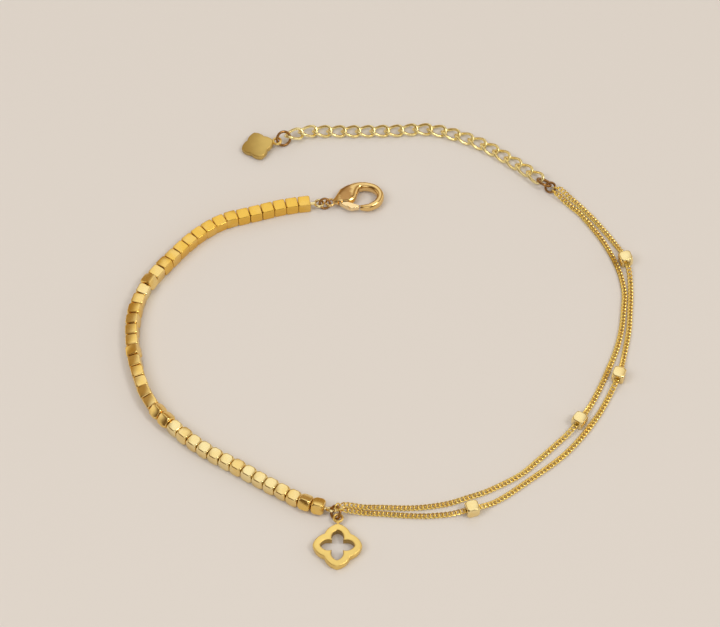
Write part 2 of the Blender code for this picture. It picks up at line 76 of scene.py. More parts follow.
# %% [markdown]
# ## The camera
#
# The photograph looks down on the loop from the front, about 53 degrees above the
# surface, through a long lens: the near and the far beads have nearly the same size. A
# 150 mm lens at just under half a metre gives the same gentle perspective. It could be
# placed by eye, but an angle and a distance from one point on the surface are easier to
# check against the photograph.

# %% Camera
VIEW_CENTRE = Vector((-3.42, 4.49, 0)) * MM
VIEW_HEIGHT = math.radians(53.238)
VIEW_DISTANCE = 475.44 * MM


def add_object(name, data):
    """Puts a mesh, a light or a camera into the scene."""
    item = bpy.data.objects.new(name, data)
    bpy.context.collection.objects.link(item)
    return item


camera_data = bpy.data.cameras.new("view")
camera_data.lens = 150
camera_data.sensor_width = 36
camera_data.clip_start = 0.01
camera = add_object("view", camera_data)
backward = Vector((0, -math.cos(VIEW_HEIGHT), math.sin(VIEW_HEIGHT)))
camera.location = VIEW_CENTRE + VIEW_DISTANCE * backward
camera.rotation_euler = (math.pi / 2 - VIEW_HEIGHT, 0, 0)
bpy.context.scene.camera = camera
print("camera at", [round(value / MM) for value in camera.location], "mm")

# %% [markdown]
# ## Colours and node helpers
#
# Colours are picked as the hex values that a screen shows, but a renderer adds up light
# in linear values. One function turns each hex value to linear, so that no colour is
# linearised twice or not at all. A second small function adds one node with its settings
# and its links, which keeps each material short enough to read at a glance.

# %% Colour and node helpers


def tint(code):
    """A hex colour as linear red, green, blue and alpha."""
    values = []
    for start in (0, 2, 4):
        value = int(code[start:start + 2], 16) / 255
        values.append(value / 12.92 if value <= 0.04045 else ((value + 0.055) / 1.055) ** 2.4)
    return (*values, 1.0)


def add_node(tree, kind, settings=None, **inputs):
    """Adds one node. An input is a value, or the socket that feeds it."""
    node = tree.nodes.new(kind)
    for name, value in (settings or {}).items():
        setattr(node, name, value)
    for name, value in inputs.items():
        socket = node.inputs[name.replace("_", " ")]
        if isinstance(value, bpy.types.NodeSocket):
            tree.links.new(value, socket)
        else:
            socket.default_value = value
    return node


print("pale gold in linear values:", [round(value, 3) for value in tint("F2D27A")[:3]])

# %% [markdown]
# ## The gold finishes
#
# Every part is brass with a thin gold plate. The metal is the same all over, and what
# tells the parts apart is how each was finished: beads tumbled in a barrel until they
# shine, cast parts polished by hand, plates brushed to a satin, and wire drawn through a
# die. So one function mixes two gold tones over a slow mottling, varies the roughness with
# a finer pattern, and adds a very shallow bump for the marks that the finishing left. A
# bare shader with one colour would look like plastic. A metal keeps the default IOR,
# because its colour already says how it reflects.
#
# A mesh can also carry a number at each point, the plate tone, that pushes its gold
# towards the deeper of the two tones. On the tag and on the flats of the clasp it is a
# deeper plate; on the beads and on the walls of the pendant's window it is painted
# reflection and painted shade. Separate materials could do that too, but the number
# varies from bead to bead in one mesh.

# %% Plated gold
# The number a mesh carries: plate tone, and also painted shade and painted reflection
SHADE_AND_PLATE_TONE = "plate_tone"


def plated_gold(name, light, deep, tone_size, gloss, marks, mark_depth,
                stretch=(1, 1, 1), mottling=0.3):
    """Gold plate: two tones, a roughness range, and finishing marks of a real size."""
    material = bpy.data.materials.new(name)
    material.use_nodes = True
    tree = material.node_tree
    shader = tree.nodes["Principled BSDF"]
    shader.inputs["Metallic"].default_value = 1.0
    place = add_node(tree, "ShaderNodeTexCoord")
    tones = add_node(tree, "ShaderNodeTexNoise", Vector=place.outputs["Object"],
                     Scale=1 / tone_size, Detail=3.0)
    mottle = add_node(tree, "ShaderNodeMapRange", {"interpolation_type": "SMOOTHSTEP"},
                      Value=tones.outputs["Fac"], From_Min=0.35, From_Max=0.65,
                      To_Max=mottling)
    # Painted shade and plate tone from the mesh deepen the gold on top of the mottling
    plate = add_node(tree, "ShaderNodeAttribute", {"attribute_name": SHADE_AND_PLATE_TONE})
    total = add_node(tree, "ShaderNodeMath", {"operation": "ADD"},
                     Value=mottle.outputs["Result"])
    tree.links.new(plate.outputs["Fac"], total.inputs[1])
    colour = add_node(tree, "ShaderNodeMix", {"data_type": "RGBA"},
                      Factor=total.outputs["Value"])
    colour.inputs[6].default_value = tint(light)
    colour.inputs[7].default_value = tint(deep)
    tree.links.new(colour.outputs[2], shader.inputs["Base Color"])
    grain_place = add_node(tree, "ShaderNodeMapping", Vector=place.outputs["Object"],
                           Scale=stretch)
    grain = add_node(tree, "ShaderNodeTexNoise", Vector=grain_place.outputs["Vector"],
                     Scale=1 / marks, Detail=4.0)
    rough = add_node(tree, "ShaderNodeMapRange", Value=grain.outputs["Fac"],
                     To_Min=gloss[0], To_Max=gloss[1])
    tree.links.new(rough.outputs["Result"], shader.inputs["Roughness"])
    bump = add_node(tree, "ShaderNodeBump", Height=grain.outputs["Fac"], Distance=mark_depth)
    tree.links.new(bump.outputs["Normal"], shader.inputs["Normal"])
    return material


# Tumbled beads: mirror-like faces, softened by marks of about 0.3 mm
bead_gold = plated_gold("tumbled_gold_plate", "F9E6AC", "EFC258", 2.6 * MM, (0.12, 0.22),
                        0.30 * MM, 0.0015 * MM)
# Fine chain: drawn wire, pressed flat and tumbled, duller than a bead
chain_gold = plated_gold("pressed_curb_chain_gold", "FFE68A", "F9CC5E", 1.4 * MM, (0.26, 0.38),
                         0.12 * MM, 0.001 * MM)
# Extender links: drawn wire with a greener, paler plate
link_gold = plated_gold("drawn_link_gold", "FFF0B4", "F4D67C", 3.0 * MM, (0.20, 0.32),
                        0.15 * MM, 0.001 * MM)
# Jump rings: drawn wire with faint marks of the pliers, its gold painted darker and browner
# than the other parts as painted shade
painted_shade_ring_gold = plated_gold("jump_ring_gold_painted_shade", "AE824E", "745022", 1.5 * MM, (0.22, 0.34),
                        0.20 * MM, 0.0015 * MM)
# Cast clasp: polished by hand, with soft low waves where the wheel went over it
clasp_gold = plated_gold("polished_cast_gold", "EECB88", "965F2C", 3.2 * MM, (0.12, 0.22),
                         0.60 * MM, 0.004 * MM, mottling=0.15)
# Clasp lever: stamped, bright along its flat face
lever_gold = plated_gold("stamped_lever_gold", "FFE6B4", "ECC47C", 2.0 * MM, (0.14, 0.24),
                         0.25 * MM, 0.001 * MM)
# Pendant and tag: sheet metal brushed to a satin, with fine lines along one direction
plate_gold = plated_gold("brushed_satin_gold", "FCDC84", "82602A", 4.0 * MM, (0.26, 0.38),
                         0.10 * MM, 0.002 * MM, stretch=(1, 6, 1), mottling=0.12)
FINISHES = (bead_gold, chain_gold, link_gold, painted_shade_ring_gold, clasp_gold, lever_gold, plate_gold)
print("finishes:", [material.name for material in FINISHES])

# %% [markdown]
# ## Routes and pieces
#
# A strung wire or a chain follows a smooth curve through the places where it was laid. A
# curve object could carry it, but beads and links need a place and a heading at a given
# length along it, so a small class walks the curve by distance. The points are the same
# as in the CAD source, in millimetres as measured from the photograph, then shifted so
# that the middle of the piece is the origin.

# %% Routes
ROUTE_MIDDLE = Vector((3.42, -4.49, 0))


def between(a, b, c, d, t):
    """A point on the smooth curve from b to c, a share t of the way."""
    return 0.5 * (2 * b + t * (c - a) + t * t * (2 * a - 5 * b + 4 * c - d)
                  + t ** 3 * (3 * b - a - 3 * c + d))


def smoothed(points, steps):
    """The smooth curve through a list of points, as a finer list."""
    ends = [2 * points[0] - points[1], *points, 2 * points[-1] - points[-2]]
    fine = []
    for a, b, c, d in zip(ends, ends[1:], ends[2:], ends[3:]):
        fine += [between(a, b, c, d, step / steps) for step in range(steps)]
    return [*fine, points[-1]]


class Route:
    """A smooth curve through laid points, read by its length."""

    STEPS = 40

    def __init__(self, points):
        laid = [(Vector((x, y, 0)) - ROUTE_MIDDLE) * MM for x, y in points]
        self.samples = smoothed(laid, self.STEPS)
        self.lengths = [0.0]
        for before, after in zip(self.samples, self.samples[1:]):
            self.lengths.append(self.lengths[-1] + (after - before).length)
        self.length = self.lengths[-1]

    def at(self, distance):
        if distance <= 0:
            return self.samples[0] + distance * self.heading(0)
        if distance >= self.length:
            return self.samples[-1] + (distance - self.length) * self.heading(self.length)
        k = next(i for i, length in enumerate(self.lengths) if length >= distance)
        share = (distance - self.lengths[k - 1]) / (self.lengths[k] - self.lengths[k - 1])
        return self.samples[k - 1].lerp(self.samples[k], share)

    def heading(self, distance):
        inside = min(max(distance, 0.0), self.length)
        k = next(i for i, length in enumerate(self.lengths) if length >= inside)
        low = max(k - self.STEPS // 2, 0)
        high = min(k + self.STEPS // 2, len(self.samples) - 1)
        return (self.samples[high] - self.samples[low]).normalized()


string_route = Route((
    (-4.3, -37.5), (-8.0, -36.6), (-13.2, -33.6), (-18.4, -30.2), (-23.6, -26.9),
    (-28.0, -23.2), (-31.6, -19.2), (-33.9, -14.6), (-35.2, -9.6), (-35.8, -4.4),
    (-35.3, 0.8), (-33.5, 5.4), (-30.2, 10.1), (-26.5, 14.5), (-22.2, 17.7),
    (-17.4, 19.3), (-12.6, 20.75), (-8.8, 21.45), (-6.6, 21.65)))
print("bead string route:", round(string_route.length / MM, 1), "mm")

# %% [markdown]
# A few helpers serve every piece. The first turns a direction into a frame to place
# things by. The second stamps a copy of a small finished mesh, such as a bead or a link,
# at such a frame: a whole chain then is one mesh, where hundreds of linked objects would
# be slow to handle. The last makes the object, hangs it on the body that it moves with,
# and hides the CAD solids that it stands for.

# %% Placing helpers


def framed(centre, along, across):
    """A place whose x axis runs along and whose y axis leans towards across."""
    along = along.normalized()
    normal = along.cross(across).normalized()
    turn = Matrix((along, normal.cross(along), normal)).transposed()
    return Matrix.Translation(centre) @ turn.to_4x4()


def stamp(bm, form, place):
    """Adds a copy of a finished mesh to bm at a place."""
    before = len(bm.verts)
    bm.from_mesh(form)
    bm.verts.ensure_lookup_table()
    bmesh.ops.transform(bm, matrix=place, verts=bm.verts[before:])


def only(kind, items):
    """The points or the edges among the items that an operator gives."""
    return [item for item in items if isinstance(item, kind)]


def as_mesh(name, bm):
    """Turns a bmesh into a mesh, and frees it."""
    mesh = bpy.data.meshes.new(name)
    bm.to_mesh(mesh)
    bm.free()
    return mesh


def as_form(bm):
    """A small mesh that stamp can copy, its faces turned outwards."""
    bmesh.ops.recalc_face_normals(bm, faces=bm.faces[:])
    return as_mesh("form", bm)


def add_piece(name, bm, nodes, material, body="bracelet", crease=35):
    """Makes the piece that stands for some CAD nodes and rides on a body."""
    mesh = as_mesh(name, bm)
    mesh.shade_smooth()
    mesh.set_sharp_from_angle(angle=math.radians(crease))
    mesh.materials.append(material)
    piece = add_object(name, mesh)
    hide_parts(*nodes)
    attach(piece, body)
    mesh.calc_loop_triangles()
    print(f"{name}: {len(mesh.loop_triangles)} triangles")


print("placing helpers ready")

# %% [markdown]
# Links, loops and eyes all begin as a circle of wire spun round a middle. Squeezed, the
# ring is an oval link, and twisted, it lies flat among its neighbours.

# %% One link of wire
WIRE_WELD = 0.001 * MM


def spun_wire(radius, wire, steps, sides, cut=0.0, cut_at=0.0):
    """A circle of wire spun into a ring, the whole way round or up to a cut."""
    bm = bmesh.new()
    start = (Matrix.Rotation(cut_at, 4, "Z") @ Matrix.Translation((radius, 0, 0))
             @ Matrix.Rotation(math.pi / 2, 4, "X"))
    bmesh.ops.create_circle(bm, segments=sides, radius=wire / 2, matrix=start)
    bmesh.ops.spin(bm, geom=bm.verts[:] + bm.edges[:], cent=(0, 0, 0), axis=(0, 0, 1),
                   angle=2 * math.pi - cut, steps=steps, use_merge=not cut)
    bmesh.ops.remove_doubles(bm, verts=bm.verts[:], dist=WIRE_WELD)
    return bm


def wire_link(half_length, half_width, twist, wire, steps, sides):
    """An oval link: a spun ring, squeezed, and twisted to lie flat."""
    bm = spun_wire(half_length, wire, steps, sides)
    for vert in bm.verts:
        angle = math.atan2(vert.co.y, vert.co.x)
        vert.co.y -= (half_length - half_width) * math.sin(angle)
        vert.co.z += twist * math.sin(2 * angle)
    return bm


trial = wire_link(1.50 * MM, 0.95 * MM, 0.36 * MM, 0.50 * MM, 12, 6)
print("faces of a coarse link:", len(trial.faces))
trial.free()

# %% [markdown]
# ## One cube bead
#
# The beads are cut from square gold-plated rod, drilled, and tumbled. Each is a cube of
# nearly 2 mm with its corners cut off flat and its edges rounded, so a face shows as an
# octagon with a thin dark rim. They aren't all tumbled alike: those near the pendant have
# wide corners and soft edges, and those near the clasp are nearly sharp and lie flush. A
# rounded cube from a modifier would lose the flat corners. Here a cube has its corners
# bevelled once, then all its edges with three segments, and the end faces are opened and
# bridged to a drilled hole. Three forms are made, each for the beads from one place on.

# %% Bead form
BEAD_SIZE = 1.95 * MM
BORE_STEPS = 16
BORE_RADIUS = 0.36 * MM
BORE_EASE = 0.05 * MM


def bead_form(bore, corner_cut, edge_round):
    """A drilled cube with flat corners and rounded edges, its hole along x."""
    bm = bmesh.new()
    bmesh.ops.create_cube(bm, size=BEAD_SIZE)
    bmesh.ops.bevel(bm, geom=bm.verts[:], offset=corner_cut, affect="VERTICES", segments=1,
                    profile=0.5, material=-1)
    bmesh.ops.bevel(bm, geom=bm.edges[:], offset=edge_round, affect="EDGES", segments=3,
                    profile=0.5, material=-1)
    bm.normal_update()
    ends = [face for face in bm.faces if abs(face.normal.x) > 0.99 and len(face.verts) == 8]
    rims = []
    for face in ends:
        rim_x = face.calc_center_median().x
        edges = face.edges[:]
        bmesh.ops.delete(bm, geom=[face], context="FACES_ONLY")
        cut = bmesh.ops.subdivide_edges(bm, edges=edges, cuts=1)
        outer = only(bmesh.types.BMEdge, cut["geom_split"])
        turn = Matrix.Translation((rim_x, 0, 0)) @ Matrix.Rotation(math.pi / 2, 4, "Y")
        circle = bmesh.ops.create_circle(bm, segments=BORE_STEPS, radius=bore, matrix=turn)
        rim = list(dict.fromkeys(edge for vert in circle["verts"] for edge in vert.link_edges))
        bmesh.ops.bridge_loops(bm, edges=outer + rim)
        rims.append(rim)
    bmesh.ops.bridge_loops(bm, edges=rims[0] + rims[1])
    bmesh.ops.bevel(bm, geom=rims[0] + rims[1], offset=BORE_EASE, affect="EDGES", segments=2,
                    profile=0.5, material=-1)
    return as_form(bm)


# The first bead that has each form, then the cut of its corners and the round of its edges
BEAD_FORMS = (
    (0, bead_form(BORE_RADIUS, 0.50 * MM, 0.18 * MM)),
    (16, bead_form(BORE_RADIUS, 0.34 * MM, 0.15 * MM)),
    (29, bead_form(BORE_RADIUS, 0.24 * MM, 0.09 * MM)))
print("faces of each bead form:", [len(form.polygons) for start, form in BEAD_FORMS])

# %% [markdown]
# ## The bead string
#
# Forty-four beads sit on a wire with almost no play, 2.04 mm from one to the next. Each
# has turned a little round the wire, so that some mirror the bright side of the room and
# others the dark side, and that is what makes the row sparkle. A row of identical beads
# would look like a moulded bar. The turns below are in degrees, from the pendant end to
# the clasp end, and each bead is then let down until it rests on the surface. Each bead
# also has a number in tenths that darkens its gold towards the deep tone: that is painted
# reflection of the dim, warm side of the room, pale by the pendant and a deep yellow by
# the clasp.

# %% Bead string
BEAD_PITCH = 2.038 * MM
BEAD_COUNT = 44
LOOP_WIRE = 0.44 * MM
FRONT_RADIUS = 0.72 * MM
FRONT_NECK = 0.10 * MM
BACK_RADIUS = 0.65 * MM
BACK_NECK = 0.62 * MM
FIRST_BEAD = FRONT_RADIUS + LOOP_WIRE / 2 + FRONT_NECK + BEAD_SIZE / 2
LAST_BEAD = FIRST_BEAD + (BEAD_COUNT - 1) * BEAD_PITCH
STRING_LENGTH = LAST_BEAD + BEAD_SIZE / 2 + BACK_NECK + LOOP_WIRE / 2 + BACK_RADIUS
BEAD_TURNS = (
    18, 27, 1, -4, 2, -1, 3, 5, 0, -1, 1, 0, 8, -2, 38, 42, -14, -17, -5, -7, -14,
    -26, -9, -12, -16, -13, -3, 2, -24, 2, -7, -2, 2, 0, 3, -1, 2, -3, 0, 1, -1, 2, 0, 1)
# Painted reflection, in tenths: how far each bead's gold is darkened towards the deep tone
BEAD_PAINTED_REFLECTIONS = (
    6, 5, 2, 2, 1, 1, 0, 2, 0, 0, 0, 1, 2, 0, 4, 5, 4, 3, 4, 6, 5,
    6, 5, 5, 5, 6, 4, 1, 4, 5, 8, 7, 9, 8, 9, 8, 9, 8, 10, 9, 10, 10, 9, 9)


def resting(form, turn):
    """How high the middle of a turned form must be for it to rest on the surface."""
    return -min((turn @ vert.co).z for vert in form.vertices)


bm = bmesh.new()
shade_and_tone_layer = bm.verts.layers.float.new(SHADE_AND_PLATE_TONE)
wire_points = []
for k, (degrees, painted_reflection) in enumerate(zip(BEAD_TURNS, BEAD_PAINTED_REFLECTIONS)):
    form = [form for start, form in BEAD_FORMS if start <= k][-1]
    place = FIRST_BEAD + k * BEAD_PITCH
    heading = string_route.heading(place)
    roll = Matrix.Rotation(math.radians(degrees), 4, "X")
    turn = framed(Vector(), heading, UP.cross(heading)) @ roll
    centre = string_route.at(place) + UP * resting(form, turn)
    wire_points.append(centre)
    stamp(bm, form, Matrix.Translation(centre) @ turn)
    # Painted reflection: this bead's gold is darkened by its number
    for vert in bm.verts[-len(form.vertices):]:
        vert[shade_and_tone_layer] = painted_reflection / 10
print("beads on the wire:", len(wire_points))

# %% [markdown]
# The wire shows only as a dark line between two beads, and at each end as a small loop.
# It could be a curve object, but the same sweep is needed for the clasp, so one helper
# pushes a round profile from station to station: it extrudes the last ring of edges and
# moves it to the next place.

# %% Sweep helper and the string's wire


def sweep(bm, stations, sides, roundness=1.0):
    """Pushes an oval profile along stations of (centre, along, width, height)."""
    places = []
    for centre, along, width, height in stations:
        upright = framed(centre, along, UP.cross(along))
        places.append(upright @ Matrix.Diagonal((1, width, height, 1)))
    lying = Matrix.Rotation(math.pi / 2, 4, "Y")
    ring = bmesh.ops.create_circle(bm, segments=sides, radius=0.5, matrix=lying)["verts"]
    for vert in ring:
        vert.co.y = math.copysign(abs(2 * vert.co.y) ** roundness / 2, vert.co.y)
        vert.co.z = math.copysign(abs(2 * vert.co.z) ** roundness / 2, vert.co.z)
    bmesh.ops.transform(bm, matrix=places[0], verts=ring)
    edges = list(dict.fromkeys(edge for vert in ring for edge in vert.link_edges))
    bmesh.ops.contextual_create(bm, geom=edges)
    for before, after in zip(places, places[1:]):
        grown = bmesh.ops.extrude_edge_only(bm, edges=edges)["geom"]
        edges = only(bmesh.types.BMEdge, grown)
        bmesh.ops.transform(bm, matrix=after @ before.inverted(),
                            verts=only(bmesh.types.BMVert, grown))
    bmesh.ops.contextual_create(bm, geom=edges)


def along_points(points):
    """The heading at each of a list of points."""
    ends = [2 * points[0] - points[1], *points, 2 * points[-1] - points[-2]]
    return [(after - before).normalized() for before, after in zip(ends, ends[2:])]


def drawn_wire(bm, points, wire, sides):
    """Sweeps a round wire through a list of points."""
    headings = along_points(points)
    sweep(bm, [(point, along, wire, wire) for point, along in zip(points, headings)], sides)


STRING_WIRE = 0.50 * MM
FRONT_DROP = 0.175 * MM

front_loop = string_route.at(0) + UP * (BEAD_SIZE / 2 - FRONT_DROP)
back_loop = string_route.at(STRING_LENGTH) + UP * BEAD_SIZE / 2
wire_start = string_route.at(FRONT_RADIUS) + UP * front_loop.z
wire_end = string_route.at(STRING_LENGTH - BACK_RADIUS) + UP * back_loop.z
drawn_wire(bm, [wire_start, *wire_points, wire_end], STRING_WIRE, 10)
print("string wire from loop to loop:", round(STRING_LENGTH / MM, 1), "mm")

# %% [markdown]
# Each end of the wire is bent round into a closed loop. A ring that stands or leans on the
# surface comes up again for every jump ring, so its place is worked out once here: it
# holds the direction that the chain pulls in, and leans to one side by an angle.

# %% Loops at the ends of the string
FRONT_LEAN = math.radians(-40)


def leaning(along, tilt):
    """The direction across along that climbs by tilt on its left."""
    return UP.cross(along).normalized() * math.cos(tilt) + UP * math.sin(tilt)


def ring_place(centre, along, tilt):
    return framed(centre, along, leaning(along, tilt))


front_along = -string_route.heading(0)
back_along = string_route.heading(STRING_LENGTH)
for radius, centre, along, tilt in ((FRONT_RADIUS, front_loop, front_along, FRONT_LEAN),
                                    (BACK_RADIUS, back_loop, back_along, 0)):
    loop_form = as_form(wire_link(radius, radius, 0, LOOP_WIRE, 24, 10))
    stamp(bm, loop_form, ring_place(centre, along, tilt))
add_piece("bead_string", bm, ("bead_string_front", "bead_string_back"), bead_gold)

# %% [markdown]
# ## The jump rings
#
# A jump ring is a turn of round wire that was sawn through, opened with pliers and closed
# again, so there is a hairline cut somewhere on it. A full spin would give a seamless
# ring. These are spun almost the whole way round and capped, which leaves that cut.

# %% Jump rings
PENDANT_RING_RADIUS = 1.00 * MM
PENDANT_RING_TILT = math.radians(57)
CLASP_RING_RADIUS = 0.83 * MM
STRAND_RING_RADIUS = 0.80 * MM
END_RING_RADIUS = 1.16 * MM
RING_WIRE = 0.44 * MM
FINE_RING_WIRE = 0.38 * MM
RING_CUT = math.radians(2.5)


def jump_ring(radius, wire, cut_at):
    """A flat ring of wire with a hairline cut at an angle round it."""
    bm = spun_wire(radius, wire, 32, 12, RING_CUT, cut_at)
    rim = [edge for edge in bm.edges if edge.is_boundary]
    bmesh.ops.holes_fill(bm, edges=rim, sides=0)
    bmesh.ops.recalc_face_normals(bm, faces=bm.faces[:])
    return bm


def middle(node):
    low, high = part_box(node)
    return (low + high) / 2


def flat(vector):
    return Vector((vector.x, vector.y, 0)).normalized()


pendant_heading = Matrix.Rotation(math.radians(-62), 3, "Z") @ Vector((1, 0, 0))
onward = middle("end_ring") - middle("strand_ring")
tag_along = flat(middle("tag_ring") - middle("extender_link_19"))
# Each ring's radius and wire, the way it is pulled, its lean, and where it is cut
RINGS = {
    "pendant_ring": (PENDANT_RING_RADIUS, RING_WIRE, pendant_heading, PENDANT_RING_TILT, 2.6),
    "clasp_ring": (CLASP_RING_RADIUS, FINE_RING_WIRE, back_along, math.radians(57), 1.2),
    "strand_ring": (STRAND_RING_RADIUS, FINE_RING_WIRE, onward, math.radians(-30), 1.6),
    "end_ring": (END_RING_RADIUS, RING_WIRE, flat(onward), math.radians(36), 4.4),
    "tag_ring": (END_RING_RADIUS, RING_WIRE, tag_along, math.radians(-57), 1.4),
}
for node, (radius, wire, along, tilt, cut_at) in RINGS.items():
    bm = jump_ring(radius, wire, cut_at)
    bmesh.ops.transform(bm, matrix=ring_place(middle(node), along, tilt), verts=bm.verts[:])
    add_piece("round_" + node, bm, (node,), painted_shade_ring_gold)

# %% [markdown]
# ## The fine chains
#
# The two fine chains are curb chain: oval links of round wire, each twisted a little so
# that the links lie flat, side by side, in two rows. From above they show two rows of
# small dark holes. A tube with a bump pattern would give only the outline, so real links
# are stamped here, each through the next, 0.65 mm apart. With more than a hundred links in
# a chain, one link keeps to a few dozen faces.

# %% Fine chain routes
CHAIN_HALF = 0.46 * MM
CHAIN_SIDE = 0.345 * MM
CHAIN_TWIST = 0.18 * MM
CHAIN_WIRE = 0.25 * MM
CHAIN_PITCH = 0.65 * MM
CHAIN_HEIGHT = 0.32 * MM

outer_route = Route((
    (-2.2, -37.7), (2.3, -37.9), (8.3, -38.35), (12.1, -38.2), (17.1, -37.4),
    (21.2, -35.4), (25.9, -31.8), (30.6, -27.9), (33.8, -24.3), (36.6, -20.2),
    (38.5, -16.6), (40.4, -12.4), (41.6, -7.5), (42.4, -3.5), (42.8, 0.3),
    (43.1, 4.3), (42.95, 8.4), (41.5, 12.9), (38.5, 17.9), (35.5, 21.9),
    (33.9, 23.6), (32.4, 24.9)))
inner_route = Route((
    (-2.2, -36.75), (2.3, -36.8), (8.3, -36.9), (13.0, -36.2), (16.2, -35.1),
    (19.7, -33.7), (24.3, -31.0), (27.3, -28.2), (30.5, -24.9), (33.1, -22.2),
    (35.1, -19.2), (37.1, -15.2), (38.7, -11.4), (40.2, -7.5), (41.2, -3.6),
    (41.75, 0.3), (42.05, 4.3), (41.25, 9.0), (39.1, 14.4), (36.1, 19.4),
    (34.5, 21.3), (32.9, 23.0), (31.5, 24.2)))
for name, route in (("outer", outer_route), ("inner", inner_route)):
    print(name, "chain route:", round(route.length / MM, 1), "mm")

# %% [markdown]
# A chain lies on the surface, climbs into each bead that is threaded on it, and climbs to
# the rings at its two ends. A smooth hump at each of those places gives its height.

# %% Height along a chain
RAMP = 3.2 * MM
END_RISE = 0.62 * MM
THREADED_HEIGHT = 0.80 * MM
OUTER_BEADS = (19.2 * MM, 54.2 * MM, 77.4 * MM)
INNER_BEADS = (41.4 * MM,)


def hump(distance, flat_half, ramp):
    """1 within the flat half-length, falling smoothly to 0 over the ramp."""
    share = (abs(distance) - flat_half) / ramp
    return 0.5 + 0.5 * math.cos(math.pi * min(max(share, 0.0), 1.0))


def chain_heights(route, bead_places):
    """A function from a distance along the chain to its place in the air."""
    def point(distance):
        ends = max(hump(distance, 0, RAMP), hump(route.length - distance, 0, RAMP))
        beads = max(hump(distance - place, BEAD_SIZE / 2, RAMP) for place in bead_places)
        rise = max(END_RISE * ends, (THREADED_HEIGHT - CHAIN_HEIGHT) * beads)
        return route.at(distance) + UP * (CHAIN_HEIGHT + rise)
    return point


in_bead = chain_heights(outer_route, OUTER_BEADS)(OUTER_BEADS[0])
print("height of the chain inside a bead:", round(in_bead.z / MM, 2), "mm")

# %% [markdown]
# At each end a larger, rounder link holds the ring. The ring leans, so the grip is the
# point of its wire that is nearest to the chain. The small links share out the length
# between the two end links.

# %% Chain links
END_HALF = 0.50 * MM
END_SIDE = 0.42 * MM
END_PULL = 0.34 * MM
LINK_PLAY = 0.02 * MM


def grip_on(ring_node, chain_end):
    """The point of a ring's wire nearest to the end of a chain, and its heading there."""
    radius, wire, along, tilt, cut_at = RINGS[ring_node]
    across = leaning(along, tilt)
    choices = []
    for degrees in range(0, 360, 5):
        angle = math.radians(degrees)
        spot = along.normalized() * math.cos(angle) + across * math.sin(angle)
        wire_heading = across * math.cos(angle) - along.normalized() * math.sin(angle)
        choices.append((middle(ring_node) + radius * spot, wire_heading))
    return min(choices, key=lambda choice: (choice[0] - chain_end).length)


chain_link = as_form(wire_link(CHAIN_HALF, CHAIN_SIDE, CHAIN_TWIST, CHAIN_WIRE, 12, 5))
end_link = as_form(wire_link(END_HALF, END_SIDE, 0, CHAIN_WIRE, 16, 6))


def add_chain(name, node, route, bead_places):
    """Small links from ring to ring, with a larger round link at each end."""
    point = chain_heights(route, bead_places)
    bm = bmesh.new()
    reach = 2 * END_HALF - END_PULL + CHAIN_HALF - CHAIN_WIRE - LINK_PLAY
    spans = []
    for ring, end, sign in (("pendant_ring", 0.0, 1), ("strand_ring", route.length, -1)):
        grip, wire_heading = grip_on(ring, point(end))
        beyond = (grip - route.at(end)).dot(route.heading(end))
        start = end + beyond + sign * reach
        away = (point(start) - grip).normalized()
        centre = grip + away * (END_HALF - END_PULL)
        stamp(bm, end_link, framed(centre, away, wire_heading.cross(away)))
        spans.append(start)
    first, last = spans
    count = round((last - first) / CHAIN_PITCH)
    for k in range(count + 1):
        spot = first + k * (last - first) / count
        along = point(spot + CHAIN_HALF) - point(spot - CHAIN_HALF)
        stamp(bm, chain_link, framed(point(spot), along, UP.cross(along)))
    print(f"{name}: {count + 1} links, {(last - first) / count / MM:.3f} mm apart")
    add_piece(name, bm, (node,), chain_gold, crease=60)


add_chain("outer_chain", "outer_strand", outer_route, OUTER_BEADS)
add_chain("inner_chain", "inner_strand", inner_route, INNER_BEADS)

# %% [markdown]
# The four beads on the chains are the same cubes with a wider hole, which shows as a dark
# round mouth at one end with the chain coming out of it. They use the same form with a
# larger bore, and take their places from the CAD nodes.

# %% Beads on the chains
WIDE_BORE = 0.58 * MM

chain_bead = bead_form(WIDE_BORE, 0.44 * MM, 0.15 * MM)
threaded = [(f"outer_bead_{k}", outer_route, place) for k, place in enumerate(OUTER_BEADS, 1)]
threaded.append(("inner_bead_1", inner_route, INNER_BEADS[0]))
for node, route, place in threaded:
    bm = bmesh.new()
    along = route.heading(place)
    stamp(bm, chain_bead, framed(middle(node), along, UP.cross(along)))
    add_piece("cube_" + node, bm, (node,), bead_gold)

# %% [markdown]
# ## The extender chain
#
# The extender is nineteen larger links of the same kind, open enough to see the surface
# through, so that the clasp can hook into any of them. The CAD links already have their
# real places, so each finer link takes its middle from its node and its heading from its
# neighbours. More steps and sides make the wire round where the eye can follow it.

# %% Extender links
LINK_HALF = 1.50 * MM
LINK_SIDE = 0.95 * MM
LINK_TWIST = 0.36 * MM
LINK_WIRE = 0.50 * MM

extender_link = as_form(wire_link(LINK_HALF, LINK_SIDE, LINK_TWIST, LINK_WIRE, 28, 12))
link_nodes = [f"extender_link_{k:02d}" for k in range(1, 20)]
link_middles = [middle(node) for node in link_nodes]
bm = bmesh.new()
for centre, along in zip(link_middles, along_points(link_middles)):
    stamp(bm, extender_link, framed(centre, along, UP.cross(along)))
add_piece("extender_chain", bm, link_nodes, link_gold, crease=60)

# %% [markdown]
# ## The pendant and the tag
#
# Both are four-lobed plates cut from sheet: the pendant is thick and pierced by a window
# of the same outline, the tag is smaller and solid. Each lobe is two arcs that rise from
# the valleys to a blunt tip. One arc is a single point spun round its own middle, then it
# is mirrored and turned to the other axes, which is exact and needs no table of
# coordinates.

# %% Lobed outline
ARC_STEPS = 8
WELD = 0.002 * MM
PENDANT_SIZE = 7.4 * MM
PENDANT_VALLEY = 1.96 * MM
PENDANT_BULGE = 0.34 * MM


